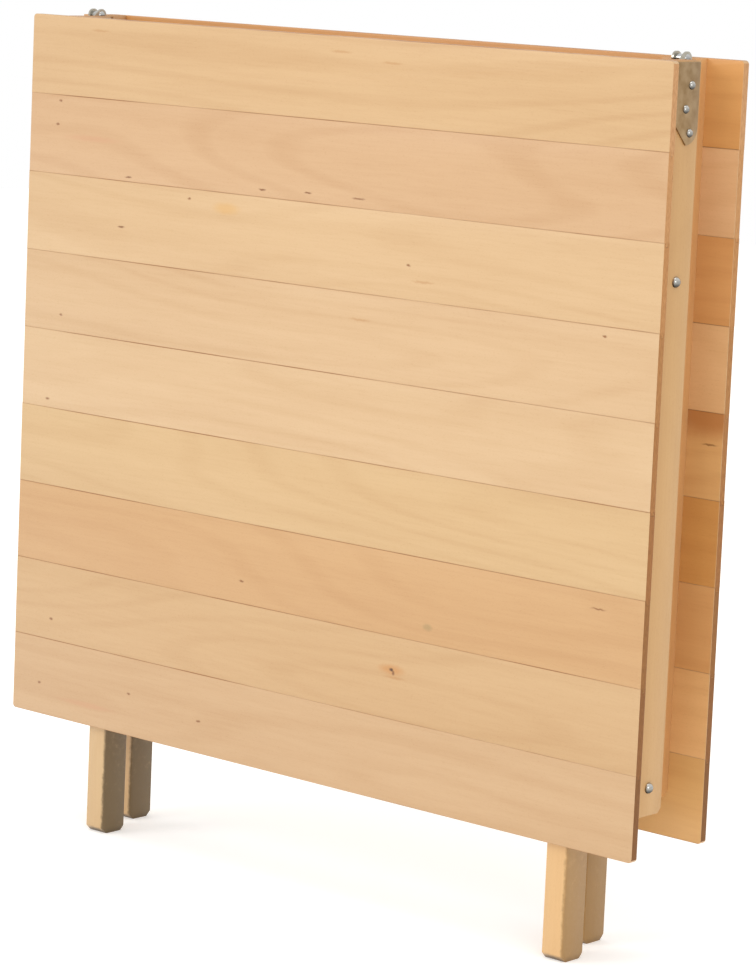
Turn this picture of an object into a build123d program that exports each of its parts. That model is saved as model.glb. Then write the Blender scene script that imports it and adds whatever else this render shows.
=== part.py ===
from build123d import *
import os
from math import asin, atan2, cos, degrees, hypot, radians, sin

# A folding table: two equal plank leaves, hinged along their top edges and stood up folded on
# their feet.  Millimetres.  X runs along the planks and the hinge, Y through the folded package
# (the front leaf is on the -Y side), Z is up, and the origin is on the floor below the middle.
# The rear half is the front half turned half a turn about Z, so that the frames nest.

# ---------------------------------------------------------------- driving dimensions
leaf_length = 900                   # along the planks
plank_pitch = 89
plank_count = 9
plank_thickness = 9
package_depth = 126                 # outer face to outer face, folded
foot_to_leaf = 125                  # the leaf's lower edge above the floor
hinge_gap = 0.5                     # the hinge axis stands this far above the leaf's top edge

batten_width = 24
batten_depth = 45
batten_inset = 6                    # outer batten's side in from the end of the leaf
nesting_gap = 15                    # along X, between the battens of the two halves
leg_width = 27
leg_depth = 34
leg_inset = 89                      # outer leg's side in from the end of the leaf
leg_splay = 12                      # the open leg leans out from square by this angle
pivot_below_edge = 218              # leg pivot, down from the leaf's top edge
stay_bolt_below_edge = 729
pivot_offset = 33                   # pivots, in front of the mid-plane
peg_below_pivot = 300

# ---------------------------------------------------------------- worked out from them
leaf_height = plank_pitch * plank_count
leaf_bottom = foot_to_leaf
leaf_top = leaf_bottom + leaf_height
hinge_z = leaf_top + hinge_gap
outer_face = -package_depth / 2     # Y of the front leaf's table-top face
inner_face = outer_face + plank_thickness
batten_edge = inner_face + batten_depth
pivot_y = -pivot_offset
pivot_z = leaf_top - pivot_below_edge
stay_bolt_z = leaf_top - stay_bolt_below_edge
nesting_shift = (batten_width + nesting_gap) / 2
leg_shift = leg_width / 2           # the legs of the two halves stand side by side along X
half_length = leaf_length / 2
batten_outer = half_length - batten_inset
batten_inner = batten_outer - batten_width
leg_outer = half_length - leg_inset
leg_inner = leg_outer - leg_width
batten_mirror = Plane.YZ.offset(nesting_shift)  # the front battens are symmetric about this plane
leg_mirror = Plane.YZ.offset(leg_shift)         # and the front legs about this one
left_batten_outer = 2 * nesting_shift - batten_outer
left_batten_inner = 2 * nesting_shift - batten_inner
opening_angle = 90 - leg_splay                  # how far a leg swings

# ---------------------------------------------------------------- hardware
rod_radius = 4
bolt_radius = 3
rivet_radius = 2.5
running_gap = 0.05                  # radial clearance of everything that turns on a pin
side_gap = 0.1                      # beside a piece that turns
plate_thickness = 2.5
cover_thickness = 2
eye_radius = 7
screw_radius = 2
spacer_radius = 6
dome_radius = 5.75
dome_height = 5
stay_thickness = 2.5
stay_width = 12

os.makedirs("parts", exist_ok=True)


def save(part, name):
    part.label = name
    export_step(part, f"parts/{name}.step")


def save_halves(part, front_name, rear_name):
    """Writes a front piece, and the same piece turned half a turn for the rear half."""
    save(part, front_name)
    save(part.rotate(Axis.Z, 180), rear_name)


# ---------------------------------------------------------------- planks
arris = 0.7                         # chamfer along each joint, which shows as a fine V
tongue_length = 4
tongue_thickness = 3
groove_clearance = 0.1
leaf_corner_radius = 4
screw_below_plank_centre = 14.5
lowest_screw_z = leaf_bottom + 57   # the last plank's screw, between the stay bolt and the end
pilot_depth = 7
batten_middles = [(batten_outer + batten_inner) / 2]
batten_middles.append(2 * nesting_shift - batten_middles[0])


def screw_height(index):
    plank_centre = leaf_top - (index + 0.5) * plank_pitch
    return plank_centre - screw_below_plank_centre if index < plank_count - 1 else lowest_screw_z


def plank_section(index):
    """Outline in Y and Z of one tongued and grooved plank, number 0 at the hinge edge."""
    top = leaf_top - index * plank_pitch
    bottom = top - plank_pitch
    middle = (outer_face + inner_face) / 2
    groove = tongue_thickness / 2 + groove_clearance
    groove_floor = top - tongue_length - 3 * groove_clearance
    tongue = tongue_thickness / 2
    points = [(outer_face, bottom + arris), (outer_face, top - arris), (outer_face + arris, top)]
    if index > 0:
        points += [(middle - groove, top), (middle - groove, groove_floor)]
        points += [(middle + groove, groove_floor), (middle + groove, top)]
    points += [(inner_face - arris, top), (inner_face, top - arris), (inner_face, bottom + arris)]
    points += [(inner_face - arris, bottom)]
    if index < plank_count - 1:
        points += [(middle + tongue, bottom), (middle + tongue, bottom - tongue_length)]
        points += [(middle - tongue, bottom - tongue_length), (middle - tongue, bottom)]
    points += [(outer_face + arris, bottom)]
    return points


for index in range(plank_count):
    with BuildPart() as plank:
        with BuildSketch(Plane.YZ.offset(-half_length)):
            with BuildLine():
                Polyline(*plank_section(index), close=True)
            make_face()
        extrude(amount=leaf_length)
        for x in batten_middles:
            with Locations(Plane((x, inner_face, screw_height(index)), z_dir=(0, 1, 0))):
                Hole(screw_radius, depth=pilot_depth)
        if index in (0, plank_count - 1):
            leaf_centre = (0, 0, (leaf_top + leaf_bottom) / 2)
            with BuildSketch(Plane(leaf_centre, x_dir=(1, 0, 0), z_dir=(0, -1, 0))):
                RectangleRounded(leaf_length, leaf_height, leaf_corner_radius)
            extrude(amount=package_depth, both=True, mode=Mode.INTERSECT)
    save_halves(plank.part, f"front_plank_{index + 1}", f"rear_plank_{index + 1}")


# ---------------------------------------------------------------- battens
batten_above_leaf_bottom = 43       # the batten stops short of the leaf's lower edge
batten_bottom = leaf_bottom + batten_above_leaf_bottom
batten_chamfer = 6
edge_rounding = 1.5
counterbore_radius = 4.25
screw_clearance = 0.2
screw_grip = 18                     # wood left under each screw head
counterbore_depth = batten_depth - screw_grip
rivet_places = [(-26, leaf_top - 24), (-34, leaf_top - 47.5), (-26, leaf_top - 71)]

with BuildPart() as batten:
    with BuildSketch(Plane.YZ.offset(batten_inner)):
        with BuildLine():
            Polyline(
                (inner_face, leaf_top),
                (batten_edge, leaf_top),
                (batten_edge, batten_bottom + batten_chamfer),
                (batten_edge - batten_chamfer, batten_bottom),
                (inner_face + batten_chamfer, batten_bottom),
                (inner_face, batten_bottom + batten_chamfer),
                close=True,
            )
        make_face()
    extrude(amount=batten_width)
    fillet(batten.edges().filter_by(Axis.Z).sort_by(Axis.Y)[-2:], edge_rounding)
    with BuildSketch(Plane.YZ.offset(batten_inner)):
        with Locations((pivot_y, pivot_z)):
            Circle(rod_radius)
        with Locations((pivot_y, stay_bolt_z)):
            Circle(bolt_radius)
        with Locations(*rivet_places):
            Circle(rivet_radius)
    extrude(amount=batten_width, mode=Mode.SUBTRACT)
    for index in range(plank_count):
        mouth = Plane((batten_middles[0], batten_edge, screw_height(index)), z_dir=(0, 1, 0))
        with Locations(mouth):
            CounterBoreHole(screw_radius + screw_clearance, counterbore_radius, counterbore_depth)
save_halves(batten.part, "front_batten_right", "rear_batten_left")
save_halves(batten.part.mirror(batten_mirror), "front_batten_left", "rear_batten_right")

screw_head_radius = 4
screw_head_height = 2.5
screw_seat = Plane.XZ.offset(-(inner_face + screw_grip))
screw_spots = [(x, screw_height(index)) for x in batten_middles for index in range(plank_count)]
with BuildPart() as plank_screws:
    with BuildSketch(screw_seat):
        with Locations(*screw_spots):
            Circle(screw_radius)
    extrude(amount=screw_grip + pilot_depth)
    with BuildSketch(screw_seat):
        with Locations(*screw_spots):
            Circle(screw_head_radius)
    extrude(amount=-screw_head_height)
save_halves(plank_screws.part, "front_plank_screws", "rear_plank_screws")


# ---------------------------------------------------------------- hinge plates
plate_leaf_side = inner_face + 1
plate_free_side = batten_edge - 4
plate_top = leaf_top - 1.5
plate_tip = leaf_top - 83
plate_slant_top = leaf_top - 60
plate_corner = 18                   # radius of the free lower corner
plate_foot = plate_leaf_side + 18   # where the slanted side meets the short bottom edge
eye_arm_low = leaf_top - 26
eye_plate_width = 18                # the eye plates stay clear of the middle rivet
eye_plate_corner = 6

with BuildSketch() as plate_outline:
    with BuildLine():
        Polyline(
            (plate_free_side - plate_corner, plate_tip),
            (plate_foot, plate_tip),
            (plate_leaf_side, plate_slant_top),
            (plate_leaf_side, plate_top),
            (plate_free_side, plate_top),
            (plate_free_side, plate_tip + plate_corner),
        )
        TangentArc(
            (plate_free_side, plate_tip + plate_corner),
            (plate_free_side - plate_corner, plate_tip),
            tangent=(0, -1),
        )
    make_face()
    with Locations(*rivet_places):
        Circle(rivet_radius, mode=Mode.SUBTRACT)

with BuildSketch() as eye_plate_outline:
    with Locations((plate_free_side, plate_top)):
        Rectangle(eye_plate_width, plate_top - plate_tip, align=(Align.MAX, Align.MAX))
    fillet(eye_plate_outline.vertices().group_by(Axis.Y)[0], eye_plate_corner)
    with Locations(rivet_places[0], rivet_places[2]):
        Circle(rivet_radius, mode=Mode.SUBTRACT)

with BuildSketch() as eye_arm:
    with BuildLine():
        CenterArc((0, hinge_z), eye_radius, 0, 360)
        Line((plate_free_side, plate_top), (plate_free_side, eye_arm_low))
    make_hull()


def eye_plate(x, pin_hole_radius):
    """Plate against a batten's side, from x towards +X, with its eye on the hinge axis."""
    with BuildPart() as plate:
        with BuildSketch(Plane.YZ.offset(x)):
            add(eye_plate_outline.sketch)
            add(eye_arm.sketch)
            with Locations((0, hinge_z)):
                Circle(pin_hole_radius, mode=Mode.SUBTRACT)
        extrude(amount=plate_thickness)
    return plate.part


# The right front eye is on the batten's inner side; the left one is on the outer side, so that
# both stand in the gap between the two halves.  The pins are tight in the front eyes and the
# rear eyes turn on them.
front_eye_right_x = batten_inner - plate_thickness
front_eye_left_x = left_batten_outer - plate_thickness
turning_radius = bolt_radius + running_gap
save(eye_plate(front_eye_right_x, bolt_radius), "front_eye_plate_right")
save(eye_plate(front_eye_left_x, bolt_radius), "front_eye_plate_left")
save(eye_plate(front_eye_left_x, turning_radius).rotate(Axis.Z, 180), "rear_eye_plate_right")
save(eye_plate(front_eye_right_x, turning_radius).rotate(Axis.Z, 180), "rear_eye_plate_left")

cover_right_x = batten_outer
cover_left_x = left_batten_inner
with BuildPart() as cover_plates:
    for x in (cover_right_x, cover_left_x):
        with BuildSketch(Plane.YZ.offset(x)):
            add(plate_outline.sketch)
        extrude(amount=cover_thickness)
save_halves(cover_plates.part, "front_cover_plates", "rear_cover_plates")

# Each rivet has a round head on the cover plate.  The upper and the lower one are flush in the
# eye plate, and the middle one is flush in the batten's side, beside that plate.
rivet_head_radius = 4.5
rivet_head_height = 3.5


def round_head(radius, height):
    """A round head, a cap of a sphere, standing on the origin along +X."""
    sphere = (radius ** 2 + height ** 2) / (2 * height)
    centre = height - sphere
    halfway = atan2(radius, -centre) / 2
    shoulder = (centre + sphere * cos(halfway), sphere * sin(halfway))
    with BuildPart() as head:
        with BuildSketch(Plane.XY):
            with BuildLine():
                Polyline((0, radius), (0, 0), (height, 0))
                ThreePointArc((height, 0), shoulder, (0, radius))
            make_face()
        revolve(axis=Axis.X)
    return head.part


rivet_head = round_head(rivet_head_radius, rivet_head_height)
with BuildPart() as hinge_rivets:
    for eye_x, cover_x in ((front_eye_right_x, cover_right_x), (front_eye_left_x, cover_left_x)):
        for place, start in zip(rivet_places, (eye_x, eye_x + plate_thickness, eye_x)):
            with BuildSketch(Plane.YZ.offset(start)):
                with Locations(place):
                    Circle(rivet_radius)
            extrude(amount=cover_x + cover_thickness - start)
        with Locations(*[(cover_x + cover_thickness, y, z) for y, z in rivet_places]):
            add(rivet_head)
save_halves(hinge_rivets.part, "front_hinge_rivets", "rear_hinge_rivets")

# A pin through each pair of eyes, headed at both ends, with a sleeve between the eyes.  Both
# ends of the table have the rear eye on the -X side of the gap and the front eye on its +X side.
pin_head_radius = 4.5
pin_head_height = 2
sleeve_radius = 4.5
pin_head = round_head(pin_head_radius, pin_head_height)
gap_starts = {"right": batten_inner - nesting_gap, "left": -batten_inner}

for end, gap_start in gap_starts.items():
    with BuildPart() as pin:
        with BuildSketch(Plane.YZ.offset(gap_start - side_gap)):
            with Locations((0, hinge_z)):
                Circle(bolt_radius)
        extrude(amount=nesting_gap + side_gap)
        with Locations(Location((gap_start - side_gap, 0, hinge_z), (0, 180, 0))):
            add(pin_head)
        with Locations((gap_start + nesting_gap, 0, hinge_z)):
            add(pin_head)
    save(pin.part, f"hinge_pin_{end}")

with BuildPart() as hinge_sleeves:
    for gap_start in gap_starts.values():
        with BuildSketch(Plane.YZ.offset(gap_start + plate_thickness + side_gap)):
            with Locations((0, hinge_z)):
                Circle(sleeve_radius)
                Circle(bolt_radius, mode=Mode.SUBTRACT)
        extrude(amount=nesting_gap - 2 * plate_thickness - side_gap)
save(hinge_sleeves.part, "hinge_sleeves")


# ---------------------------------------------------------------- legs and stretchers
leg_face = inner_face + 2           # Y of the leg's face next to the leaf
leg_back = leg_face + leg_depth
foot_chamfer = 6
end_clearance = 20.7                # pivot to the leg's top end, just under pivot to leaf
stretcher_depth = 18
stretcher_height = 40
stretcher_rounding = 3
tenon_length = 14
tenon_depth = 10
tenon_height = 28
stretchers_below_pivot = {"upper": 250, "lower": 480}
peg_radius = 3
peg_reach = 5.2                     # how far the peg stands out of the leg's side

# The top end is cut square to the leaf when the leg is open, and bears on it.  Its corner next
# to the leaf follows the swing.
slope = radians(leg_splay)
end_touch = (pivot_y - end_clearance * sin(slope), pivot_z + end_clearance * cos(slope))
back_drop = (leg_back - end_touch[0]) * sin(slope) / cos(slope)
swing_low = (leg_face - pivot_y) / end_clearance
swing_rise = (1 - swing_low ** 2) ** 0.5 * end_clearance
swing_middle = radians((90 + leg_splay + 180 - degrees(asin(swing_rise / end_clearance))) / 2)

with BuildPart() as leg:
    with BuildSketch(Plane.YZ.offset(leg_inner)):
        with BuildLine():
            Polyline(
                (leg_face, pivot_z + swing_rise),
                (leg_face, foot_chamfer),
                (leg_face + foot_chamfer, 0),
                (leg_back - foot_chamfer, 0),
                (leg_back, foot_chamfer),
                (leg_back, end_touch[1] + back_drop),
                end_touch,
            )
            ThreePointArc(
                end_touch,
                (
                    pivot_y + end_clearance * cos(swing_middle),
                    pivot_z + end_clearance * sin(swing_middle),
                ),
                (leg_face, pivot_z + swing_rise),
            )
        make_face()
    extrude(amount=leg_width)
    fillet(leg.edges().filter_by(Axis.Z).sort_by(Axis.Y)[-2:], edge_rounding)
    with BuildSketch(Plane.YZ.offset(leg_inner)):
        with Locations((pivot_y, pivot_z)):
            Circle(rod_radius + running_gap)
    extrude(amount=leg_width, mode=Mode.SUBTRACT)
    with BuildSketch(Plane.YZ.offset(leg_inner)):
        for drop in stretchers_below_pivot.values():
            with Locations(((leg_face + leg_back) / 2, pivot_z - drop)):
                Rectangle(tenon_depth, tenon_height)
    extrude(amount=tenon_length, mode=Mode.SUBTRACT)
    with BuildSketch(Plane.YZ.offset(leg_outer)):
        with Locations((pivot_y, pivot_z - peg_below_pivot)):
            Circle(peg_radius)
    extrude(amount=-tenon_length, mode=Mode.SUBTRACT)
save_halves(leg.part, "front_leg_right", "rear_leg_left")
save_halves(leg.part.mirror(leg_mirror), "front_leg_left", "rear_leg_right")

left_leg_inner = 2 * leg_shift - leg_inner
for place, drop in stretchers_below_pivot.items():
    with BuildPart() as stretcher:
        with BuildSketch(Plane.YZ.offset(left_leg_inner)):
            with Locations(((leg_face + leg_back) / 2, pivot_z - drop)):
                RectangleRounded(stretcher_depth, stretcher_height, stretcher_rounding)
        extrude(amount=leg_inner - left_leg_inner)
        with BuildSketch(Plane.YZ.offset(left_leg_inner - tenon_length)):
            with Locations(((leg_face + leg_back) / 2, pivot_z - drop)):
                Rectangle(tenon_depth, tenon_height)
        extrude(amount=leg_inner - left_leg_inner + 2 * tenon_length)
    save_halves(stretcher.part, f"front_stretcher_{place}", f"rear_stretcher_{place}")

with BuildPart() as pegs:
    with BuildSketch(Plane.YZ.offset(leg_outer - tenon_length)):
        with Locations((pivot_y, pivot_z - peg_below_pivot)):
            Circle(peg_radius)
    extrude(amount=tenon_length + peg_reach)
    mirror(about=leg_mirror)
save_halves(pegs.part, "front_leg_pegs", "rear_leg_pegs")


# ---------------------------------------------------------------- stays
# A flat bar turns on a bolt near the leaf's lower edge.  Its end is joggled towards the leg, and
# hooks over the leg's peg when the leg is open.  At rest it lies just behind the leg's pivot rod.
hook_plane = leg_outer + 1.9        # the hook's side next to the leg
bar_plane = leg_outer + 5.6         # the bar clears the peg's end
stay_end_radius = 8
hook_head = 11                      # metal beyond the peg's centre
hook_lip = 9
hook_low = 30                       # the joggle ends this far before the peg's centre
joggle_length = 12
slot_radius = peg_radius + 0.4
slot_angle = -45

open_peg = (
    peg_below_pivot * sin(radians(opening_angle)),
    pivot_z - peg_below_pivot * cos(radians(opening_angle)) - stay_bolt_z,
)
stay_reach = hypot(*open_peg)
rod_clearance = spacer_radius + stay_width / 2 + 0.9
rest_tilt = degrees(asin(rod_clearance / (pivot_z - stay_bolt_z)))
stay_swing = degrees(atan2(*open_peg)) - rest_tilt
print(f"stay reach {stay_reach:.3f}, rest tilt {rest_tilt:.4f}, swing {stay_swing:.4f} degrees")

peg_centre = (pivot_y, stay_bolt_z + stay_reach)
with BuildPart() as stay:
    with BuildSketch(Plane.YZ.offset(hook_plane)):
        with Locations((pivot_y, stay_bolt_z)):
            Circle(stay_end_radius)
            Rectangle(stay_width, stay_reach, align=(Align.CENTER, Align.MIN))
        with Locations((pivot_y - stay_width / 2, stay_bolt_z + stay_reach - hook_low)):
            Rectangle(
                stay_width / 2 + hook_lip, hook_low + hook_head, align=(Align.MIN, Align.MIN)
            )
        with Locations(peg_centre):
            Circle(slot_radius, mode=Mode.SUBTRACT)
        with Locations(Location((*peg_centre, 0), (0, 0, slot_angle))):
            Rectangle(
                hook_low, 2 * slot_radius, align=(Align.MIN, Align.CENTER), mode=Mode.SUBTRACT
            )
        with Locations((pivot_y, stay_bolt_z)):
            Circle(bolt_radius + running_gap, mode=Mode.SUBTRACT)
    extrude(amount=bar_plane + stay_thickness - hook_plane)
    with BuildSketch(Plane.XZ):
        with BuildLine():
            Polyline(
                (bar_plane, stay_bolt_z - stay_end_radius),
                (bar_plane, peg_centre[1] - hook_low - joggle_length),
                (hook_plane, peg_centre[1] - hook_low),
                (hook_plane, peg_centre[1] + hook_head),
                (hook_plane + stay_thickness, peg_centre[1] + hook_head),
                (hook_plane + stay_thickness, peg_centre[1] - hook_low),
                (bar_plane + stay_thickness, peg_centre[1] - hook_low - joggle_length),
                (bar_plane + stay_thickness, stay_bolt_z - stay_end_radius),
                close=True,
            )
        make_face()
    extrude(amount=package_depth, both=True, mode=Mode.INTERSECT)
resting_stay = stay.part.rotate(Axis((0, pivot_y, stay_bolt_z), (1, 0, 0)), -rest_tilt)
save_halves(resting_stay, "front_stay_right", "rear_stay_left")
save_halves(resting_stay.mirror(leg_mirror), "front_stay_left", "rear_stay_right")


# ---------------------------------------------------------------- rods, bolts, nuts, spacers
# Rods and bolts have a domed head or cap nut at the half's outer end, and are riveted over flush
# with the batten at the other end.
cap_bore_depth = 3
batten_dome = round_head(dome_radius, dome_height)
nut_thickness = 4
nut_across_flats = 10
spacer_bore_clearance = 0.2

with BuildPart() as pivot_rod:
    with BuildSketch(Plane.YZ.offset(left_batten_outer)):
        with Locations((pivot_y, pivot_z)):
            Circle(rod_radius)
    extrude(amount=batten_outer + cap_bore_depth - left_batten_outer)
save_halves(pivot_rod.part, "front_pivot_rod", "rear_pivot_rod")

with BuildPart() as cap_nut:
    with Locations((batten_outer, pivot_y, pivot_z)):
        add(batten_dome)
    with BuildSketch(Plane.YZ.offset(batten_outer)):
        with Locations((pivot_y, pivot_z)):
            Circle(rod_radius)
    extrude(amount=cap_bore_depth, mode=Mode.SUBTRACT)
save_halves(cap_nut.part, "front_cap_nut", "rear_cap_nut")

with BuildPart() as spacers:
    for start, height, bore in (
        (leg_outer + side_gap, pivot_z, rod_radius),
        (bar_plane + stay_thickness + side_gap, stay_bolt_z, bolt_radius),
    ):
        for low_x, high_x in (
            (start, batten_inner),
            (left_batten_inner, 2 * leg_shift - start),
        ):
            with BuildSketch(Plane.YZ.offset(low_x)):
                with Locations((pivot_y, height)):
                    Circle(spacer_radius)
                    Circle(bore + spacer_bore_clearance, mode=Mode.SUBTRACT)
            extrude(amount=high_x - low_x)
save_halves(spacers.part, "front_spacers", "rear_spacers")

nut_side = bar_plane - side_gap
with BuildPart() as stay_bolts:
    for low_x, high_x in (
        (nut_side - nut_thickness, batten_outer),
        (left_batten_outer, 2 * leg_shift - nut_side + nut_thickness),
    ):
        with BuildSketch(Plane.YZ.offset(low_x)):
            with Locations((pivot_y, stay_bolt_z)):
                Circle(bolt_radius)
        extrude(amount=high_x - low_x)
    with Locations((batten_outer, pivot_y, stay_bolt_z)):
        add(batten_dome)
save_halves(stay_bolts.part, "front_stay_bolts", "rear_stay_bolts")

with BuildPart() as stay_nuts:
    with BuildSketch(Plane.YZ.offset(nut_side)):
        with Locations((pivot_y, stay_bolt_z)):
            RegularPolygon(nut_across_flats / 2, 6, major_radius=False)
            Circle(bolt_radius, mode=Mode.SUBTRACT)
    extrude(amount=-nut_thickness)
    mirror(about=leg_mirror)
save_halves(stay_nuts.part, "front_stay_nuts", "rear_stay_nuts")
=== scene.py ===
from math import cos, pi, radians, sin

import bmesh
import bpy
from mathutils import Matrix, Vector


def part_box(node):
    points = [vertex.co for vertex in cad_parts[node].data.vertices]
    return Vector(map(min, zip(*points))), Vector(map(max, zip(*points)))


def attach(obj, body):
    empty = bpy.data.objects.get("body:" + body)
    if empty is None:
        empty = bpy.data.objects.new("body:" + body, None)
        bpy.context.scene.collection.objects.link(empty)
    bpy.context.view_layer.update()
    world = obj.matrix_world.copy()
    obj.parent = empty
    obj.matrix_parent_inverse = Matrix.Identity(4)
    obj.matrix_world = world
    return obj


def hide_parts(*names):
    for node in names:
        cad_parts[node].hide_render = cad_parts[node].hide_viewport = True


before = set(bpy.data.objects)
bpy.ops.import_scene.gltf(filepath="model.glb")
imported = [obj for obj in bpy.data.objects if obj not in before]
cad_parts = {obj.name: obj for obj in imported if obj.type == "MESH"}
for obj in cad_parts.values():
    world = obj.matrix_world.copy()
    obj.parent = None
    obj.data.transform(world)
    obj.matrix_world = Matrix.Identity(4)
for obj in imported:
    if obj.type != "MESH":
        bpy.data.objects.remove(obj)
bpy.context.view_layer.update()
bpy.ops.object.select_all(action="DESELECT")
mm = 0.001
halves = ("front", "rear")      # the rear half is the front one, turned half round about Z


# ================================================================ planks
# Each leaf is nine beech boards, planed to 9 mm, tongued and grooved into one another and sanded
# as one surface.  Every long edge has a fine arris, so the joints show as thin V lines.  The faces
# have a satin lacquer, the undersides were only oiled, and the thirsty sawn ends are darker.

def linear(shade):
    """An sRGB hex colour as Blender's linear colour."""
    channels = [int(shade[i:i + 2], 16) / 255 for i in (0, 2, 4)]
    return [c / 12.92 if c <= 0.04045 else ((c + 0.055) / 1.055) ** 2.4 for c in channels] + [1.0]


def node(tree, kind, inputs=None, **settings):
    """Adds a shader node.  Each input is a plain value, or another node's output to link."""
    made = tree.nodes.new("ShaderNode" + kind)
    for name, value in settings.items():
        setattr(made, name, value)
    for name, value in (inputs or {}).items():
        if isinstance(value, bpy.types.NodeSocket):
            tree.links.new(value, made.inputs[name])
        else:
            made.inputs[name].default_value = value
    return made


def beech(name, tone, seed, upright=False, marks=(), joints=None, figure=1.0):
    """Planed European beech, lacquered or oiled to a satin: pale straw to pinkish brown, with soft
    bands of tone along the grain, faint arches of growth rings and short brown ray flecks."""
    material = bpy.data.materials.new(name)
    material.use_nodes = True
    tree = material.node_tree
    shader = tree.nodes["Principled BSDF"]
    place = node(tree, "TexCoord").outputs["Object"]
    quarter_turn = radians(90) if upright else 0.0
    grain = node(tree, "Mapping", {
        "Vector": place,
        "Location": (1.37 * seed, 0.61 * seed, 2.23 * seed),
        "Rotation": (0.0, quarter_turn, 0.0),
    }).outputs[0]

    # Repeats per metre along and across the grain, detail, the part of the noise that shows, and
    # how much it darkens.  Real flecks are 2 by 0.3 mm: they are drawn 3 by 0.8 mm, so they show.
    layers = (
        (1.6, 11, 2, 0.38, 0.72, 0.24),
        (4, 70, 3, 0.40, 0.75, 0.20),
        (22, 420, 3, 0.45, 0.80, 0.18),
        (330, 1250, 1, 0.60, 0.76, 0.28),
    )
    depth = 0.0
    for along, across, detail, low, high, weight in layers:
        stretched = node(tree, "Mapping", {"Vector": grain, "Scale": (along, across, across)})
        cloud = node(tree, "TexNoise", {
            "Vector": stretched.outputs[0], "Scale": 1.0, "Detail": detail, "Roughness": 0.55,
        })
        share = node(tree, "MapRange", {
            "Value": cloud.outputs[0], "From Min": low, "From Max": high, "To Max": weight,
        })
        depth = node(tree, "Math", {0: depth, 1: share.outputs[0]}, operation="ADD").outputs[0]
    fine_grain = cloud.outputs[0]

    # Growth rings are level lines of a long, slow noise, which close into arches as on a board
    # cut beside the heart.
    slow = node(tree, "Mapping", {"Vector": grain, "Scale": (1.1, 7.5, 7.5)})
    hills = node(tree, "TexNoise", {"Vector": slow.outputs[0], "Scale": 1.0, "Detail": 0.6})
    steep = node(tree, "Math", {0: hills.outputs[0], 1: 85.0}, operation="MULTIPLY")
    rings = node(tree, "Math", {0: steep.outputs[0]}, operation="SINE")
    shown_rings = node(tree, "MapRange", {
        "Value": rings.outputs[0], "From Min": 0.2, "From Max": 1.0, "To Max": 0.16 * figure,
    })
    depth = node(tree, "Math", {0: depth, 1: shown_rings.outputs[0]}, operation="ADD").outputs[0]

    pale = linear(tone)
    deep = [value * tint for value, tint in zip(pale, (0.80, 0.70, 0.58, 1.0))]
    colour = node(tree, "Mix", {0: depth, 6: pale, 7: deep}, data_type="RGBA").outputs[2]

    # Each mark is a soft oval that goes through the wood.  Noise moves its outline about by up to
    # half of each blur to either side.
    if marks:
        blur_x, blur_z = 5 * mm, 3 * mm
        wander = node(tree, "TexNoise", {"Vector": place, "Scale": 160.0, "Detail": 2.0})
        blurred = node(tree, "VectorMath", {
            0: wander.outputs["Color"], 1: (blur_x, 0, blur_z), 2: place,
        }, operation="MULTIPLY_ADD").outputs[0]
        for x, z, half_length, half_height, shade, strength in marks:
            reach = Vector((1 / half_length, 0, 1 / half_height))
            centre = Vector((x + blur_x / 2, 0, z + blur_z / 2))
            oval = node(tree, "VectorMath", {
                0: blurred, 1: reach, 2: -centre * reach,
            }, operation="MULTIPLY_ADD")
            radius = node(tree, "VectorMath", {0: oval.outputs[0]}, operation="LENGTH")
            share = node(tree, "MapRange", {
                "Value": radius.outputs["Value"], "From Min": 1.0, "From Max": 0.25,
                "To Max": strength,
            }, interpolation_type="SMOOTHSTEP")
            colour = node(tree, "Mix", {
                0: share.outputs[0], 6: colour, 7: linear(shade),
            }, data_type="RGBA").outputs[2]

    # Lacquer and dust gather in the V of a joint, more in some places than in others.
    if joints:
        low, high = joints
        dust_begins, dust_full = 0.9 * mm, 0.2 * mm     # in from the board's edge
        height = node(tree, "SeparateXYZ", {0: place}).outputs["Z"]
        off_middle = node(tree, "Math", {0: height, 1: (low + high) / 2}, operation="SUBTRACT")
        away = node(tree, "Math", {0: off_middle.outputs[0]}, operation="ABSOLUTE")
        half = (high - low) / 2
        uneven = node(tree, "TexNoise", {"Vector": place, "Scale": 6.0, "Detail": 3.0})
        strength = node(tree, "MapRange", {
            "Value": uneven.outputs[0], "From Min": 0.38, "From Max": 0.65,
            "To Min": 0.05, "To Max": 0.90,
        })
        dust = node(tree, "MapRange", {
            "Value": away.outputs[0], "From Min": half - dust_begins,
            "From Max": half - dust_full, "To Max": strength.outputs[0],
        })
        colour = node(tree, "Mix", {
            0: dust.outputs[0], 6: colour, 7: linear("94602C"),
        }, data_type="RGBA").outputs[2]

    tree.links.new(colour, shader.inputs["Base Color"])
    gloss = node(tree, "MapRange", {
        "Value": fine_grain, "From Min": 0.3, "From Max": 0.7, "To Min": 0.38, "To Max": 0.50,
    })
    tree.links.new(gloss.outputs[0], shader.inputs["Roughness"])
    relief = node(tree, "Bump", {"Height": fine_grain, "Strength": 0.25, "Distance": 0.05 * mm})
    tree.links.new(relief.outputs[0], shader.inputs["Normal"])
    shader.inputs["Coat Weight"].default_value = 0.15
    shader.inputs["Coat Roughness"].default_value = 0.30
    return material


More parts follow.
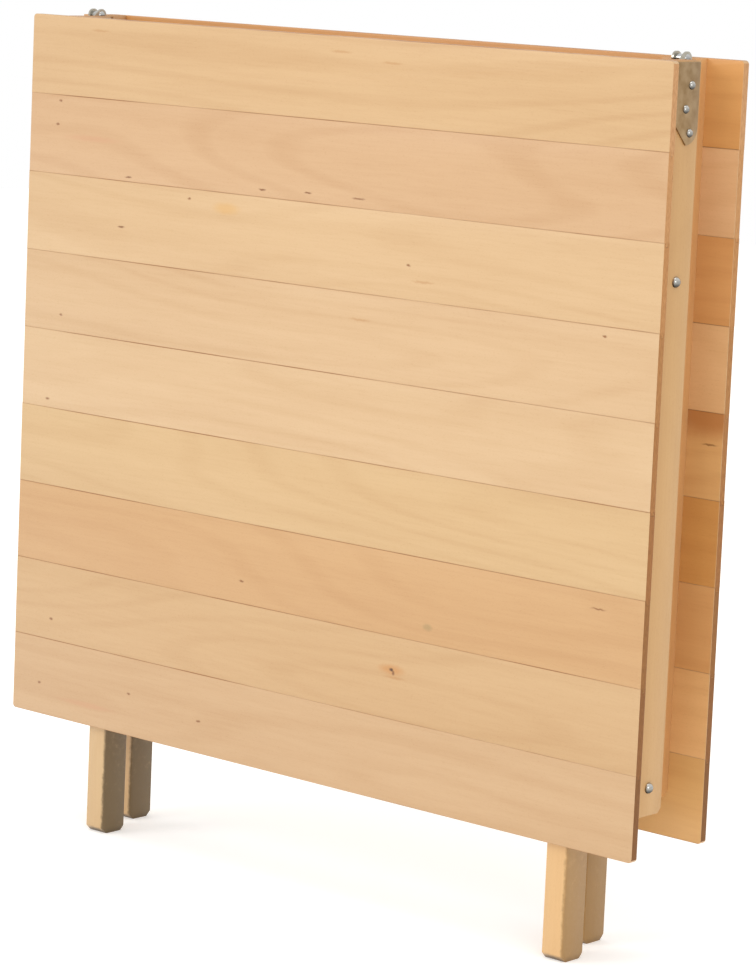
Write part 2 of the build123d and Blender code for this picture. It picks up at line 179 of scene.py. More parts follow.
def beech_end_grain(name, tone, seed):
    """Sawn beech end grain under lacquer: darker, with the rays as fine lines across the rings."""
    material = bpy.data.materials.new(name)
    material.use_nodes = True
    tree = material.node_tree
    shader = tree.nodes["Principled BSDF"]
    place = node(tree, "TexCoord").outputs["Object"]
    cut = node(tree, "Mapping", {
        "Vector": place, "Location": (seed, 0.7 * seed, 0.3 * seed), "Scale": (300, 900, 160),
    })
    pores = node(tree, "TexNoise", {"Vector": cut.outputs[0], "Scale": 1.0, "Detail": 3.0})
    share = node(tree, "MapRange", {
        "Value": pores.outputs[0], "From Min": 0.35, "From Max": 0.7,
    })
    pale = linear(tone)
    deep = [value * tint for value, tint in zip(pale, (0.72, 0.66, 0.55, 1.0))]
    colour = node(tree, "Mix", {0: share.outputs[0], 6: pale, 7: deep}, data_type="RGBA")
    tree.links.new(colour.outputs[2], shader.inputs["Base Color"])
    relief = node(tree, "Bump", {
        "Height": pores.outputs[0], "Strength": 0.5, "Distance": 0.1 * mm,
    })
    tree.links.new(relief.outputs[0], shader.inputs["Normal"])
    shader.inputs["Roughness"].default_value = 0.8
    return material


def add_block(name, low, high):
    """A cuboid between two corners, left in edit mode with all of it selected."""
    bpy.ops.mesh.primitive_cube_add(size=1.0, location=(low + high) / 2)
    block = bpy.context.object
    block.name = name
    block.scale = high - low
    bpy.ops.object.transform_apply(location=True, rotation=True, scale=True)
    bpy.ops.object.mode_set(mode="EDIT")
    return block


def pick(piece, kind, test):
    """In edit mode, selects only the vertices, edges or faces that pass the test."""
    bpy.ops.mesh.select_mode(type=kind)
    bpy.ops.mesh.select_all(action="DESELECT")
    mesh = bmesh.from_edit_mesh(piece.data)
    for part in {"VERT": mesh.verts, "EDGE": mesh.edges, "FACE": mesh.faces}[kind]:
        if test(part):
            part.select_set(True)
    bmesh.update_edit_mesh(piece.data)


def all_at(edge, axis, *values):
    """Whether both ends of an edge are at one of these values of a coordinate."""
    return any(all(abs(v.co[axis] - value) < 0.01 * mm for v in edge.verts) for value in values)


def subtract(piece, cutter):
    """Cuts the cutter's shape out of a piece and removes the cutter."""
    bpy.ops.object.select_all(action="DESELECT")
    bpy.context.view_layer.objects.active = piece
    cut = piece.modifiers.new("cut", "BOOLEAN")
    cut.operation = "DIFFERENCE"
    cut.solver = "EXACT"
    cut.object = cutter
    bpy.ops.object.modifier_apply(modifier="cut")
    bpy.data.objects.remove(cutter)


smooth_below = radians(32)      # edges between flatter faces than this look round


def finish_wood(piece, face, end, grain_axis):
    """Gives a finished piece its face and end-grain materials and crisp smooth shading."""
    piece.data.materials.clear()
    piece.data.materials.append(face)
    piece.data.materials.append(end)
    for polygon in piece.data.polygons:
        polygon.material_index = 1 if abs(polygon.normal[grain_axis]) > 0.9 else 0
    bpy.ops.object.select_all(action="DESELECT")
    piece.select_set(True)
    bpy.context.view_layer.objects.active = piece
    bpy.ops.object.shade_smooth_by_angle(angle=smooth_below)
    piece.select_set(False)


leaf_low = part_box("front_plank_9")[0]
leaf_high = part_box("front_plank_1")[1]
plank_count = 9
plank_pitch = (leaf_high.z - leaf_low.z) / plank_count
face_y = {"front": (leaf_low.y, leaf_high.y), "rear": (-leaf_high.y, -leaf_low.y)}
arris = 0.35 * mm
leaf_corner_radius = 4 * mm
tongue_length = 4 * mm
tongue_half = 1.5 * mm
groove_half = 1.6 * mm
groove_depth = 4.3 * mm
cutter_overrun = 5 * mm         # how far a cutter stands out of the piece that it cuts

# Tones of the boards from the hinge down, of their undersides, which were only oiled, and of their
# ends, which get darker towards the bottom, and how much each end was sanded back, in mm.
plank_tones = {
    "front": ("C6A377", "C49F77", "C9A87E", "C8A77F", "CAAA82", "C6A578", "C29A6C", "C29F74",
              "C3A17A"),
    "rear": ("C8A172", "CAA77E", "C59C6E", "C9A77C", "C8A274", "C29868", "C59C6E", "C9A478",
             "C6A074"),
}
underside_tones = ("D69C5C", "DCAE7E", "D2985C", "DBAC78", "D6A468", "C88E4C", "CE985E", "DAA86E",
                   "D2A366")
end_tones = ("C09062", "BC8A58", "B4804C", "A97642", "A26E3A", "9A6634", "90602E", "88582A", "7E5226")
sanded_back = (0.1, 0.3, 0.0, 0.2, 0.35, 0.05, 0.25, 0.1, 0.2)

# Marks that the boards were sold with: where along the board from the leaf's middle and how far
# below the board's upper edge, half length and half height, all in mm, colour and strength.
pin_knot = (4.0, 2.0, "7C4812", 0.85)
short_streak = (7, 1.6, "74420E", 0.88)
faint_streak = (20, 2.0, "AC7A42", 0.45)
dark_streak = (13, 1.5, "7A4A1E", 0.75)
halo = (24, 8, "B87C3C", 0.60)
core = (4.2, 2.8, "4A2C18", 0.95)
core_tail = (3.0, 3.6, "6A3F1C", 0.80)
warm_patch = (26, 9, "C8964A", 0.45)
grey_patch = (9, 5, "8F7C50", 0.50)
pink_arc = (60, 5, "C08C68", 0.40)
heartwood = (80, 36, "B0713A", 0.90)
plank_marks = {
    "front": {
        1: [(17, 16, faint_streak), (89, 24, faint_streak), (-342, 14, faint_streak)],
        2: [(-402, 6, pin_knot), (-406, 33, pin_knot), (-291, 84, short_streak),
            (-88, 81, short_streak), (-22, 79, short_streak), (50, 79, dark_streak),
            (-350, 46, pink_arc)],
        3: [(-299, 51, short_streak), (-196, 11, pin_knot), (-140, 17, warm_patch),
            (123, 53, pin_knot), (144, 69, faint_streak)],
        4: [(-391, 70, pin_knot), (59, 28, faint_streak), (383, 10, pin_knot)],
        5: [(-409, 79, pin_knot)],
        7: [(-96, 64, pin_knot), (171, 72, grey_patch), (392, 17, dark_streak)],
        8: [(124, 36, halo), (128, 44, faint_streak), (124, 36, core), (127, 39, core_tail),
            (-391, 65, pin_knot)],
        9: [(-263, 41, pin_knot), (-407, 53, pin_knot), (-153, 53, pin_knot),
            (-330, 66, pink_arc)],
    },
    "rear": {
        2: [(240, 30, pin_knot), (-310, 60, faint_streak)],
        4: [(-120, 44, halo), (-120, 44, core), (300, 20, pin_knot)],
        5: [(430, 2, heartwood), (330, 0, heartwood), (434, 33, dark_streak)],
        6: [(-260, 62, dark_streak), (60, 25, pin_knot)],
        8: [(210, 52, pin_knot), (-402, 18, pin_knot)],
        9: [(-60, 30, faint_streak), (352, 61, pin_knot)],
    },
}


def plank(name, index, y_range):
    """One board, number 1 at the hinge."""
    top = leaf_high.z - (index - 1) * plank_pitch
    bottom = top - plank_pitch
    half_length = leaf_high.x - sanded_back[index - 1] * mm
    outer, inner = y_range
    middle = (outer + inner) / 2
    board = add_block(name, Vector((-half_length, outer, bottom)), Vector((half_length, inner, top)))
    if index == 1:
        pick(board, "EDGE", lambda e: all_at(e, 2, top) and all_at(e, 0, -half_length, half_length))
    if index == plank_count:
        pick(board, "EDGE", lambda e: all_at(e, 2, bottom) and all_at(e, 0, -half_length, half_length))
    if index in (1, plank_count):
        bpy.ops.mesh.bevel(offset=leaf_corner_radius, segments=5, affect="EDGES")
    pick(board, "EDGE", lambda e: all_at(e, 1, outer) or all_at(e, 1, inner))
    bpy.ops.mesh.bevel(offset=arris, segments=2, affect="EDGES")
    if index < plank_count:
        for side in (-1, 1):
            bpy.ops.mesh.select_all(action="SELECT")
            bpy.ops.mesh.bisect(plane_co=(0, middle + side * tongue_half, 0), plane_no=(0, 1, 0))
        pick(board, "FACE", lambda f: f.normal.z < -0.9
             and abs(f.calc_center_median().y - middle) < tongue_half)
        bpy.ops.mesh.extrude_region_move(TRANSFORM_OT_translate={"value": (0, 0, -tongue_length)})
    bpy.ops.object.mode_set(mode="OBJECT")
    if index > 1:
        cutter_end = half_length + cutter_overrun
        groove = add_block(
            "groove_cutter",
            Vector((-cutter_end, middle - groove_half, top - groove_depth)),
            Vector((cutter_end, middle + groove_half, top + cutter_overrun)),
        )
        bpy.ops.object.mode_set(mode="OBJECT")
        subtract(board, groove)
    return board


for half in halves:
    for index in range(1, plank_count + 1):
        top = leaf_high.z - (index - 1) * plank_pitch
        tone = plank_tones[half][index - 1]
        seed = index + 20 * (half == "rear")
        marks = [
            (x * mm, top - down * mm, kind[0] * mm, kind[1] * mm, kind[2], kind[3])
            for x, down, kind in plank_marks[half].get(index, [])
        ]
        piece = plank(f"board_{half}_{index}", index, face_y[half])
        face = beech(f"lacquered_beech_board_{half}_{index}", tone, seed, marks=marks,
                     joints=(top - plank_pitch, top), figure=1.4 if index < 3 else 0.9)
        end = beech_end_grain(f"beech_end_grain_{half}_{index}", end_tones[index - 1], seed)
        finish_wood(piece, face, end, 0)
        under = beech(f"oiled_beech_underside_{half}_{index}", underside_tones[index - 1], seed,
                      marks=marks, joints=(top - plank_pitch, top), figure=0.9)
        piece.data.materials.append(under)
        inward = 1 if half == "front" else -1
        for polygon in piece.data.polygons:
            if polygon.normal.y * inward > 0.9:
                polygon.material_index = 2
        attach(piece, f"{half}_half")
        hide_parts(f"{half}_plank_{index}")


# ================================================================ battens
# Two beech battens, 24 by 45 mm, stand on edge under each leaf and carry the hinges and the legs.
# Their free edges are rounded and their lower ends chamfered.  A screw for each plank is driven
# from the free edge, deep in a counterbore.

def copy_of(piece, name, mirror_x=None, turn=0.0, shift=0.0):
    """A copy with its own mesh: mirrored in a plane across X, turned about Z, or shifted along X."""
    bpy.ops.object.select_all(action="DESELECT")
    copy = piece.copy()
    copy.data = piece.data.copy()
    copy.name = name
    bpy.context.collection.objects.link(copy)
    if mirror_x is not None:
        copy.scale.x = -1
        copy.location.x = 2 * mirror_x
    copy.location.x += shift
    copy.rotation_euler.z = turn
    copy.select_set(True)
    bpy.context.view_layer.objects.active = copy
    bpy.ops.object.transform_apply(location=True, rotation=True, scale=True)
    if mirror_x is not None:
        bpy.ops.object.mode_set(mode="EDIT")
        bpy.ops.mesh.select_all(action="SELECT")
        bpy.ops.mesh.normals_make_consistent(inside=False)
        bpy.ops.object.mode_set(mode="OBJECT")
    copy.select_set(False)
    return copy


def add_rod(name, start, end, radius):
    """A round bar between two points, in object mode."""
    way = end - start
    bpy.ops.mesh.primitive_cylinder_add(
        vertices=32, radius=radius, depth=way.length, location=(start + end) / 2,
        rotation=way.to_track_quat("Z", "Y").to_euler(),
    )
    rod = bpy.context.object
    rod.name = name
    bpy.ops.object.transform_apply(location=True, rotation=True, scale=True)
    rod.select_set(False)
    return rod


def join(pieces, name):
    """Makes several meshes one object."""
    bpy.ops.object.select_all(action="DESELECT")
    for piece in pieces:
        piece.select_set(True)
    bpy.context.view_layer.objects.active = pieces[0]
    bpy.ops.object.join()
    pieces[0].name = name
    pieces[0].select_set(False)
    return pieces[0]


screw_low, screw_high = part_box("front_plank_screws")
end_chamfer = 6 * mm
free_edge_rounding = 1.5 * mm
eased_edge = 0.5 * mm
counterbore_radius = 4.25 * mm
screw_head_radius = 4 * mm
screw_below_plank_centre = 14.5 * mm

low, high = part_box("front_batten_right")
between_battens = (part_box("front_batten_left")[0].x + high.x) / 2
batten = add_block("batten_front_right", low, high)
pick(batten, "EDGE", lambda e: all_at(e, 2, low.z) and (all_at(e, 1, low.y) or all_at(e, 1, high.y)))
bpy.ops.mesh.bevel(offset=end_chamfer, segments=1, affect="EDGES")
pick(batten, "EDGE", lambda e: all_at(e, 1, high.y) and (all_at(e, 0, low.x) or all_at(e, 0, high.x)))
bpy.ops.mesh.bevel(offset=free_edge_rounding, segments=4, affect="EDGES")
pick(batten, "EDGE", lambda e: e.calc_face_angle(0) > radians(40))
bpy.ops.mesh.bevel(offset=eased_edge, segments=2, affect="EDGES")
bpy.ops.object.mode_set(mode="OBJECT")
screw_x = (low.x + high.x) / 2
cutters = []
for index in range(plank_count):
    screw_z = leaf_high.z - (index + 0.5) * plank_pitch - screw_below_plank_centre
    if index == plank_count - 1:        # this one is moved off the stay bolt
        screw_z = screw_low.z + screw_head_radius
    cutters.append(add_rod(
        "counterbore_cutter", Vector((screw_x, screw_high.y, screw_z)),
        Vector((screw_x, high.y + cutter_overrun, screw_z)), counterbore_radius,
    ))
subtract(batten, join(cutters, "counterbore_cutters"))

battens = {
    ("front", "right"): batten,
    ("front", "left"): copy_of(batten, "batten_front_left", mirror_x=between_battens),
}
for side, other in (("left", "right"), ("right", "left")):
    battens["rear", side] = copy_of(battens["front", other], f"batten_rear_{side}", turn=pi)

# The front right batten's darker tone is painted shade on its side towards +X.
batten_tones = {
    ("front", "right"): "BC935E", ("front", "left"): "C8A27A",
    ("rear", "right"): "D2A068", ("rear", "left"): "CCA070",
}
for number, ((half, side), piece) in enumerate(battens.items()):
    face = beech(f"lacquered_beech_batten_{half}_{side}", batten_tones[half, side], 41 + number,
                 upright=True, figure=0.5)
    end = beech_end_grain(f"beech_end_grain_batten_{half}_{side}", "B98A5C", 41 + number)
    finish_wood(piece, face, end, 2)
    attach(piece, f"{half}_half")
    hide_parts(f"{half}_batten_{side}")


# ================================================================ plank screws
# Zinc-plated wood screws, 4 mm, at the bottom of the battens' counterbores.  Only the heads can
# be seen, down their holes.

def zinc_plate(name, tone, shine, seed):
    """Electroplated zinc on mild steel, a few years old: flat grey, cloudy where it was handled, and
    finely scratched.  A brown cast in the tone it is given is a painted reflection of the wood around
    it."""
    material = bpy.data.materials.new(name)
    material.use_nodes = True
    tree = material.node_tree
    shader = tree.nodes["Principled BSDF"]
    place = node(tree, "TexCoord").outputs["Object"]
    shifted = node(tree, "Mapping", {"Vector": place, "Location": (seed, seed, seed)}).outputs[0]
    clouds = node(tree, "TexNoise", {"Vector": shifted, "Scale": 90.0, "Detail": 5.0})
    share = node(tree, "MapRange", {
        "Value": clouds.outputs[0], "From Min": 0.35, "From Max": 0.7,
    })
    bright = linear(tone)
    tarnished = [value * tint for value, tint in zip(bright, (0.72, 0.66, 0.56, 1.0))]
    colour = node(tree, "Mix", {0: share.outputs[0], 6: bright, 7: tarnished}, data_type="RGBA")
    tree.links.new(colour.outputs[2], shader.inputs["Base Color"])
    brushed = node(tree, "Mapping", {"Vector": shifted, "Scale": (3000, 3000, 60)})
    scratches = node(tree, "TexNoise", {"Vector": brushed.outputs[0], "Scale": 1.0, "Detail": 2.0})
    gloss = node(tree, "MapRange", {
        "Value": scratches.outputs[0], "From Min": 0.3, "From Max": 0.7,
        "To Min": shine - 0.05, "To Max": shine + 0.12,
    })
    tree.links.new(gloss.outputs[0], shader.inputs["Roughness"])
    relief = node(tree, "Bump", {
        "Height": scratches.outputs[0], "Strength": 0.2, "Distance": 0.02 * mm,
    })
    tree.links.new(relief.outputs[0], shader.inputs["Normal"])
    shader.inputs["Metallic"].default_value = 1.0
    return material


def give(node_name, material):
    """Puts a material on a carried-over piece of the frame."""
    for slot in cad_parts[node_name].material_slots:
        slot.material = material


zinc_screws = zinc_plate("zinc_plated_screw", "A8A294", 0.35, 3.0)
for half in halves:
    give(f"{half}_plank_screws", zinc_screws)


# ================================================================ hinge plates
# Steel plates, zinc plated, on both sides of each batten's upper end.  One carries the eye that
# the hinge pin goes through, and the other, cut off at a slant, spreads the load of the rivets.

def dull_edges(piece, radius):
    """Rounds every sharp edge of a piece a little, as tumbling does, and smooths the shading."""
    bpy.context.view_layer.objects.active = piece
    bpy.ops.object.mode_set(mode="EDIT")
    pick(piece, "EDGE", lambda e: e.calc_face_angle(0) > radians(35))
    bpy.ops.mesh.bevel(offset=radius, segments=2, affect="EDGES")
    bpy.ops.object.mode_set(mode="OBJECT")
    bpy.ops.object.select_all(action="DESELECT")
    piece.select_set(True)
    bpy.ops.object.shade_smooth_by_angle(angle=smooth_below)
    piece.select_set(False)


# The plates' brown tone is a painted reflection of the warm wood around them.
plate_zinc = zinc_plate("zinc_plated_steel_plate", "A78D6B", 0.36, 5.0)
low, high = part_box("front_cover_plates")
cover_thickness = 2 * mm
free_corner_radius = 18 * mm
slant_rise = 23 * mm
slant_run = 18 * mm
plate_face = high.x
plate_free_side = high.y
to_left_end = low.x - (high.x - cover_thickness)
cover = add_block("cover_plate", Vector((plate_face - cover_thickness, low.y, low.z)), high)
pick(cover, "EDGE", lambda e: all_at(e, 2, low.z) and all_at(e, 1, plate_free_side))
bpy.ops.mesh.bevel(offset=free_corner_radius, segments=12, affect="EDGES")
bpy.ops.mesh.select_all(action="SELECT")
bpy.ops.mesh.bisect(
    plane_co=(0, low.y, low.z + slant_rise), plane_no=(0, -slant_rise, -slant_run),
    use_fill=True, clear_outer=True,
)
bpy.ops.object.mode_set(mode="OBJECT")
dull_edges(cover, 0.35 * mm)
covers = [cover, copy_of(cover, "cover_plate_left", shift=to_left_end)]
plates = {"front": join(covers, "cover_plates_front")}
plates["rear"] = copy_of(plates["front"], "cover_plates_rear", turn=pi)
for half, piece in plates.items():
    piece.data.materials.clear()
    piece.data.materials.append(plate_zinc)
    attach(piece, f"{half}_half")
    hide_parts(f"{half}_cover_plates")
eye_zinc = zinc_plate("zinc_plated_eye_plate", "B9B6AC", 0.20, 6.0)
for half in halves:
    for side in ("right", "left"):
        give(f"{half}_eye_plate_{side}", eye_zinc)


# ================================================================ rivets
# Three steel rivets through each batten, with a bright round head on the cover plate.  Two go
# through the eye plate and end flush with it.  The middle one misses it, is riveted over on the
# batten's side, and stands out a little there.

def polished_steel(name, tone, shine):
    """Bright steel, turned and polished.  Its colour darkens where it faces down, as painted shade and
    painted dark reflection, so it looks bright on top and dark underneath."""
    material = bpy.data.materials.new(name)
    material.use_nodes = True
    tree = material.node_tree
    shader = tree.nodes["Principled BSDF"]
    place = node(tree, "TexCoord").outputs["Object"]
    film = node(tree, "TexNoise", {"Vector": place, "Scale": 900.0, "Detail": 3.0})
    bright = linear(tone)
    # Painted shade and dark reflection: the colour is a sixth as bright where the surface faces down.
    painted_underside_shade = [value * 0.16 for value in bright[:3]] + [1.0]
    upward = node(tree, "TexCoord").outputs["Normal"]
    height = node(tree, "SeparateXYZ", {0: upward}).outputs["Z"]
    share = node(tree, "MapRange", {"Value": height, "From Min": 0.5, "From Max": -0.55})
    colour = node(tree, "Mix", {0: share.outputs[0], 6: bright, 7: painted_underside_shade}, data_type="RGBA")
    tree.links.new(colour.outputs[2], shader.inputs["Base Color"])
    gloss = node(tree, "MapRange", {
        "Value": film.outputs[0], "From Min": 0.3, "From Max": 0.7,
        "To Min": shine, "To Max": shine + 0.12,
    })
    tree.links.new(gloss.outputs[0], shader.inputs["Roughness"])
    shader.inputs["Metallic"].default_value = 1.0
    return material


across_x = Vector((1, 0, 0))


def add_round_head(name, place, radius, height, towards=1):
    """A cap of a sphere that stands on its place and points along +X or -X."""
    sphere = (radius ** 2 + height ** 2) / (2 * height)
    centre = place + across_x * towards * (height - sphere)
    bpy.ops.mesh.primitive_uv_sphere_add(
        segments=32, ring_count=20, radius=sphere, location=centre, rotation=(0, radians(90), 0),
    )
    head = bpy.context.object
    head.name = name
    bpy.ops.object.transform_apply(location=True, rotation=True, scale=True)
    bpy.ops.object.mode_set(mode="EDIT")
    bpy.ops.mesh.select_all(action="SELECT")
    bpy.ops.mesh.bisect(
        plane_co=place, plane_no=across_x * towards, use_fill=True, clear_inner=True,
    )
    bpy.ops.object.mode_set(mode="OBJECT")
    bpy.ops.object.shade_smooth_by_angle(angle=radians(40))
    head.select_set(False)
    return head


def dress(pieces, material, body, node_name):
    """Gives the front piece and its rear copy one material, and their places in the frame."""
    for half, piece in pieces.items():
        piece.data.materials.clear()
        piece.data.materials.append(material)
        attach(piece, body.format(half))
        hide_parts(node_name.format(half))


rivet_steel = polished_steel("polished_steel_rivet", "C2C0BA", 0.10)
rivet_shank_radius = 2.5 * mm
rivet_head_radius = 4.5 * mm
rivet_head_height = 3.5 * mm
eye_plate_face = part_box("front_eye_plate_right")[0].x
rivet_stands_out = 0.4 * mm         # a riveted end that isn't ground off
middle_rivet_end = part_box("front_batten_right")[0].x - rivet_stands_out
# Down from the leaf's upper edge to each rivet, in from the plate's free side, and where the end
# without a head is.
rivet_rows = (
    (24 * mm, 13 * mm, eye_plate_face),
    (47.5 * mm, 21 * mm, middle_rivet_end),
    (71 * mm, 13 * mm, eye_plate_face),
)
rivets = []
for drop, in_from_side, end_x in rivet_rows:
    spot = Vector((plate_face, plate_free_side - in_from_side, leaf_high.z - drop))
    plain_end = Vector((end_x, spot.y, spot.z))
    rivets.append(add_round_head("rivet_head", spot, rivet_head_radius, rivet_head_height))
    rivets.append(add_rod("rivet_shank", plain_end, spot, rivet_shank_radius))
right_rivets = join(rivets, "rivets_right")
left_rivets = copy_of(right_rivets, "rivets_left", shift=to_left_end)
rivet_sets = {"front": join([right_rivets, left_rivets], "rivets_front")}
rivet_sets["rear"] = copy_of(rivet_sets["front"], "rivets_rear", turn=pi)
dress(rivet_sets, rivet_steel, "{}_half", "{}_hinge_rivets")


# ================================================================ hinge pins
# A bright steel pin, 6 mm, through the two eyes at each end of the table, headed over at both
# ends, with a sleeve between the eyes.  It is tight in the front eye; the rear eye turns on it.

pin_steel = polished_steel("polished_steel_pin", "C0C0BE", 0.12)
pin_radius = 3 * mm
pin_head_radius = 4.5 * mm
pin_head_height = 2 * mm
for side in ("right", "left"):
    low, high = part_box(f"hinge_pin_{side}")
    axis_z = (low.z + high.z) / 2
    start = Vector((low.x + pin_head_height, 0, axis_z))
    end = Vector((high.x - pin_head_height, 0, axis_z))
    pin = join([
        add_rod("pin_shank", start, end, pin_radius),
        add_round_head("pin_head", end, pin_head_radius, pin_head_height),
        add_round_head("pin_tail", start, pin_head_radius, pin_head_height, towards=-1),
    ], f"pin_{side}")
    pin.data.materials.clear()
    pin.data.materials.append(pin_steel)
    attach(pin, "front_half")
    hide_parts(f"hinge_pin_{side}")
give("hinge_sleeves", pin_steel)


# ================================================================ legs
# Four beech legs, 27 by 34 mm, two to a frame, that lie between the battens when the table is
# folded.  Each foot is chamfered on both sides, and the upper end is cut to bear on the leaf when
# the leg is open, its corner rounded to clear the leaf as it swings.

rod_low, rod_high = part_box("front_pivot_rod")
pivot = Vector((0, (rod_low.y + rod_high.y) / 2, (rod_low.z + rod_high.z) / 2))
rod_radius = (rod_high.z - rod_low.z) / 2
leg_splay = radians(12)
end_clearance = 20.7 * mm
swing_corner = 16.5 * mm
foot_chamfer = 6 * mm
rod_clearance_radius = rod_radius + 0.05 * mm
low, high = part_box("front_leg_right")
between_legs = (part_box("front_leg_left")[0].x + high.x) / 2
leg = add_block("leg_front_right", low, high)
pick(leg, "EDGE", lambda e: all_at(e, 2, low.z) and (all_at(e, 1, low.y) or all_at(e, 1, high.y)))
bpy.ops.mesh.bevel(offset=foot_chamfer, segments=1, affect="EDGES")
end_normal = Vector((0, -sin(leg_splay), cos(leg_splay)))
bpy.ops.mesh.select_all(action="SELECT")
bpy.ops.mesh.bisect(
    plane_co=pivot + end_normal * end_clearance, plane_no=end_normal,
    use_fill=True, clear_outer=True,
)
highest = max(vertex.co.z for vertex in bmesh.from_edit_mesh(leg.data).verts)
pick(leg, "EDGE", lambda e: all_at(e, 2, highest))
bpy.ops.mesh.bevel(offset=swing_corner, segments=8, affect="EDGES")
pick(leg, "EDGE", lambda e: all_at(e, 1, high.y) and (all_at(e, 0, low.x) or all_at(e, 0, high.x)))
bpy.ops.mesh.bevel(offset=free_edge_rounding, segments=4, affect="EDGES")
pick(leg, "EDGE", lambda e: e.calc_face_angle(0) > radians(35))
bpy.ops.mesh.bevel(offset=eased_edge, segments=2, affect="EDGES")
bpy.ops.object.mode_set(mode="OBJECT")
subtract(leg, add_rod("pivot_hole_cutter", Vector((low.x - cutter_overrun, pivot.y, pivot.z)),
                      Vector((high.x + cutter_overrun, pivot.y, pivot.z)), rod_clearance_radius))

legs = {
    ("front", "right"): leg,
    ("front", "left"): copy_of(leg, "leg_front_left", mirror_x=between_legs),
}
for side, other in (("left", "right"), ("right", "left")):
    legs["rear", side] = copy_of(legs["front", other], f"leg_rear_{side}", turn=pi)
leg_tones = {
    ("front", "right"): "D2AA76", ("front", "left"): "C6A77C",
    ("rear", "right"): "C09862", ("rear", "left"): "C8A678",
}
# The bottom of each foot is darkened as painted shade where it meets the floor, and the lower part of
# each leg's side towards +X is darkened as painted shade.  Half length along X and half height, in mm,
# colour and strength, as for the boards.
foot_painted_shade = (30, 8, "3E2F1C", 0.85)
side_painted_shade = {"right": (6, 400, "846028", 0.75), "left": (6, 400, "54401A", 0.90)}
out_of_side = 1 * mm
for number, ((half, side), piece) in enumerate(legs.items()):
    side_low, side_high = (corner.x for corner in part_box(f"{half}_leg_{side}"))
    places = (((side_low + side_high) / 2, foot_painted_shade),
              (side_high + out_of_side, side_painted_shade[side]))
    marks = [(x, 0.0, kind[0] * mm, kind[1] * mm, kind[2], kind[3]) for x, kind in places]
    face = beech(f"lacquered_beech_leg_{half}_{side}", leg_tones[half, side], 51 + number,
                 upright=True, marks=marks, figure=0.5)
    end = beech_end_grain(f"beech_end_grain_leg_{half}_{side}", "A87A4E", 51 + number)
    finish_wood(piece, face, end, 2)
    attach(piece, f"{half}_leg_frame")
    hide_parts(f"{half}_leg_{side}")


# ================================================================ stretchers
# Two beech rails between the legs of each frame, 18 by 40 mm, tenoned and glued into the legs.
# Their long edges are well rounded, because a hand takes hold of them to open the frame.

rail_rounding = 3 * mm
tenon_length = 14 * mm
for number, place in enumerate(("upper", "lower")):
    low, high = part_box(f"front_stretcher_{place}")
    shoulders = Vector((tenon_length, 0, 0))
    rail = add_block(f"stretcher_front_{place}", low + shoulders, high - shoulders)
    pick(rail, "EDGE", lambda e: abs(e.verts[0].co.x - e.verts[1].co.x) > tenon_length)
    bpy.ops.mesh.bevel(offset=rail_rounding, segments=4, affect="EDGES")
    bpy.ops.object.mode_set(mode="OBJECT")
    rails = {"front": rail, "rear": copy_of(rail, f"stretcher_rear_{place}", turn=pi)}
    for half, piece in rails.items():
        seed = 61 + number + 2 * (half == "rear")
        face = beech(f"lacquered_beech_stretcher_{half}_{place}", "C69E73", seed, figure=0.6)
        end = beech_end_grain(f"beech_end_grain_stretcher_{half}_{place}", "B98A5C", seed)
        finish_wood(piece, face, end, 0)
        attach(piece, f"{half}_leg_frame")
        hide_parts(f"{half}_stretcher_{place}")


# ================================================================ pivot rods and cap nuts
# A bright drawn steel rod, 8 mm, through both battens and both legs of each half, with a domed
# cap nut at one end and riveted over at the other.  Tubes on it space out the legs, and a short
# peg of the same steel stands out of each leg for its stay.

cap_steel = polished_steel("polished_steel_cap", "C0BEB8", 0.10)
dome_radius = 5.75 * mm
dome_height = 5 * mm
seat = Vector((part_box("front_cap_nut")[0].x, pivot.y, pivot.z))
cap_nuts = {"front": add_round_head("cap_nut_front", seat, dome_radius, dome_height)}
cap_nuts["rear"] = copy_of(cap_nuts["front"], "cap_nut_rear", turn=pi)
dress(cap_nuts, cap_steel, "{}_half", "{}_cap_nut")
rod_start = Vector((rod_low.x - rivet_stands_out, pivot.y, pivot.z))
rod_end = Vector((rod_high.x, pivot.y, pivot.z))
rods = {"front": add_rod("pivot_rod_front", rod_start, rod_end, rod_radius)}
dull_edges(rods["front"], 0.2 * mm)
rods["rear"] = copy_of(rods["front"], "pivot_rod_rear", turn=pi)
dress(rods, pin_steel, "{}_half", "{}_pivot_rod")
for half in halves:
    for fitting in ("spacers", "leg_pegs"):
        give(f"{half}_{fitting}", pin_steel)


# ================================================================ stays
# A flat steel bar, zinc plated, beside each leg.  It turns on a bolt near the leaf's lower edge,
# and its cranked, hooked end drops over a peg on the leg to hold it open.

stay_zinc = zinc_plate("zinc_plated_stay", "A8A08E", 0.32, 9.0)
low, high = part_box("front_stay_bolts")
bolt_y = (low.y + high.y) / 2
bolt_z = (low.z + high.z) / 2
bolt_radius = 3 * mm
nut_thickness = 4 * mm
nut_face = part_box("front_stay_nuts")[1].x - nut_thickness
head_seat = Vector((high.x - dome_height, bolt_y, bolt_z))
bolts = [
    add_round_head("bolt_head", head_seat, dome_radius, dome_height),
    add_rod("bolt_shank", Vector((nut_face, bolt_y, bolt_z)), head_seat, bolt_radius),
    add_rod("bolt_shank", Vector((low.x - rivet_stands_out, bolt_y, bolt_z)),
            Vector((2 * between_legs - nut_face, bolt_y, bolt_z)), bolt_radius),
]
bolt_sets = {"front": join(bolts, "stay_bolts_front")}
bolt_sets["rear"] = copy_of(bolt_sets["front"], "stay_bolts_rear", turn=pi)
dress(bolt_sets, cap_steel, "{}_half", "{}_stay_bolts")
for half in halves:
    give(f"{half}_stay_nuts", zinc_screws)
    for side in ("right", "left"):
        give(f"{half}_stay_{side}", stay_zinc)


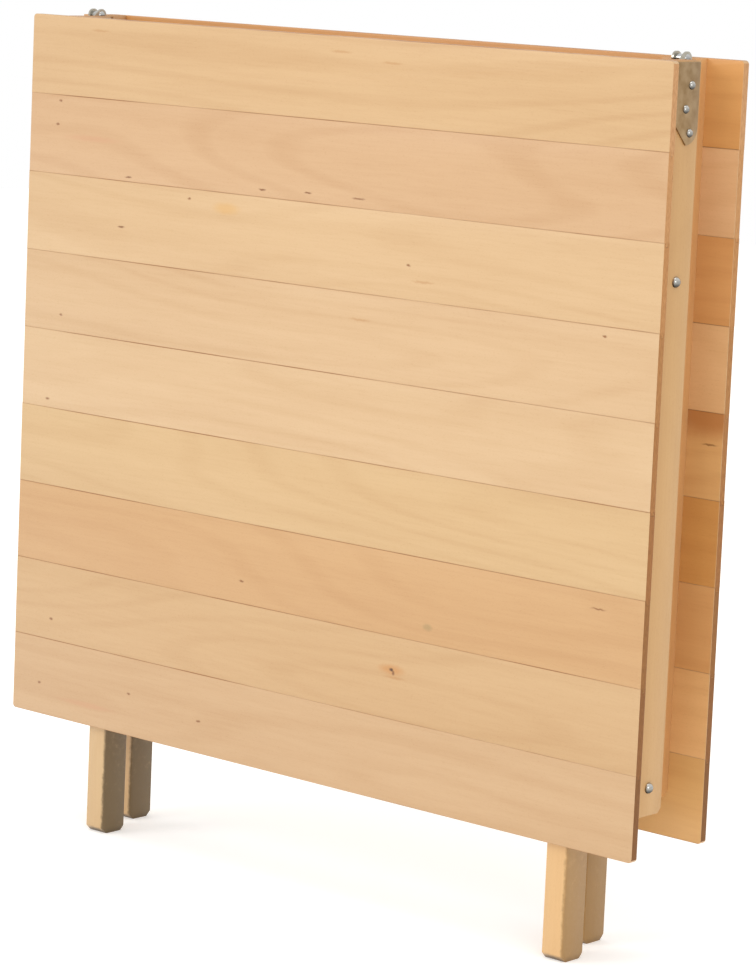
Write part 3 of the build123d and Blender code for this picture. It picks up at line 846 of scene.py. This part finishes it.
# ================================================================ floor, light and camera
# A pale floor, lit a little from below like a light table, under soft and nearly even studio
# light, which is brightest from the upper left in front.

floor_paint = bpy.data.materials.new("matt_white_floor")
floor_paint.use_nodes = True
floor_shader = floor_paint.node_tree.nodes["Principled BSDF"]
floor_shader.inputs["Base Color"].default_value = linear("F2F1EE")
floor_shader.inputs["Roughness"].default_value = 0.9
floor_shader.inputs["Emission Color"].default_value = (1, 1, 1, 1)
floor_shader.inputs["Emission Strength"].default_value = 0.3
bpy.ops.mesh.primitive_plane_add(size=14)
floor = bpy.context.object
floor.name = "studio_floor"
floor.data.materials.append(floor_paint)

world = bpy.data.worlds.new("studio")
bpy.context.scene.world = world
world.use_nodes = True
world.node_tree.nodes["Background"].inputs["Color"].default_value = (1, 1, 1, 1)
world.node_tree.nodes["Background"].inputs["Strength"].default_value = 1.0

aim = Vector((0, 0, 0.45))
# Each lamp's place and width are in metres, and its power is in watts.
for name, place, size, power in (
    ("key_softbox", Vector((-2.2, -3.6, 2.8)), 1.6, 48),
    ("top_softbox", Vector((0.4, -0.6, 3.2)), 1.2, 10),
    ("fill_softbox", Vector((3.4, -2.4, 1.4)), 1.6, 25),
):
    bpy.ops.object.light_add(type="AREA", location=place)
    lamp = bpy.context.object
    lamp.name = name
    lamp.data.shape = "SQUARE"
    lamp.data.size = size
    lamp.data.energy = power
    lamp.rotation_euler = (aim - place).to_track_quat("-Z", "Y").to_euler()

# The camera stands in front to the right and looks a little down, through a long lens.
camera_data = bpy.data.cameras.new("camera")
camera = bpy.data.objects.new("camera", camera_data)
bpy.context.collection.objects.link(camera)
stand = Matrix.Translation((2.5615, -2.9225, 1.0613))
turn = Matrix.Rotation(radians(40.862), 4, "Z")
look_down = radians(7.383)
tilt = Matrix.Rotation(radians(90) - look_down, 4, "X")
roll = Matrix.Rotation(radians(2.49), 4, "Z")
camera.matrix_world = stand @ turn @ tilt @ roll
camera_data.lens = 133.87
camera_data.shift_y = -0.1122
bpy.context.scene.camera = camera
bpy.context.scene.view_settings.view_transform = "Standard"
